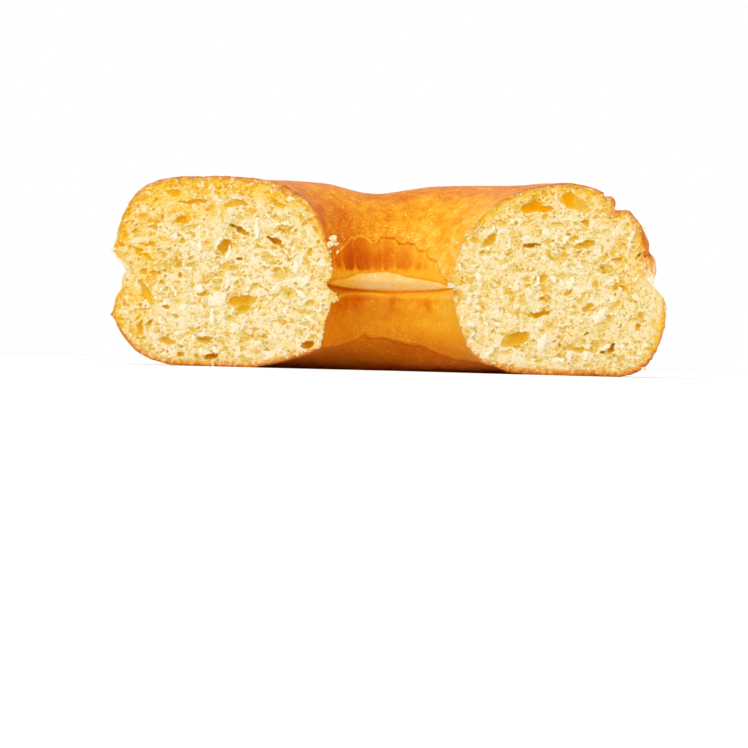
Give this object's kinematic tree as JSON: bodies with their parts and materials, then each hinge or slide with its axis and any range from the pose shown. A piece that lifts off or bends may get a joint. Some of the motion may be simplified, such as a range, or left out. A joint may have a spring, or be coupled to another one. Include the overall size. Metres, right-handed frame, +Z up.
{
  "type": "ring doughnut half",
  "caption": "Half of a plain fried ring doughnut, cut upright and lying flat, with open crumb on both cut faces and a creased wall round half of its hole.",
  "frame": {"origin": "centre of the bounding box, on the surface it rests on", "axes": "+X to the right along the plane of the cut, +Y from the cut faces to the back of the ring, +Z up"},
  "size_m": [0.0901, 0.0451, 0.0319],
  "materials": {
    "crust": "fried dough crust, golden orange, faintly greasy sheen",
    "crumb": "open yeast-raised crumb, cream yellow, matte"
  },
  "bodies": {
    "root": {"ring_doughnut_half": "crust"}
  },
  "joints": []
}
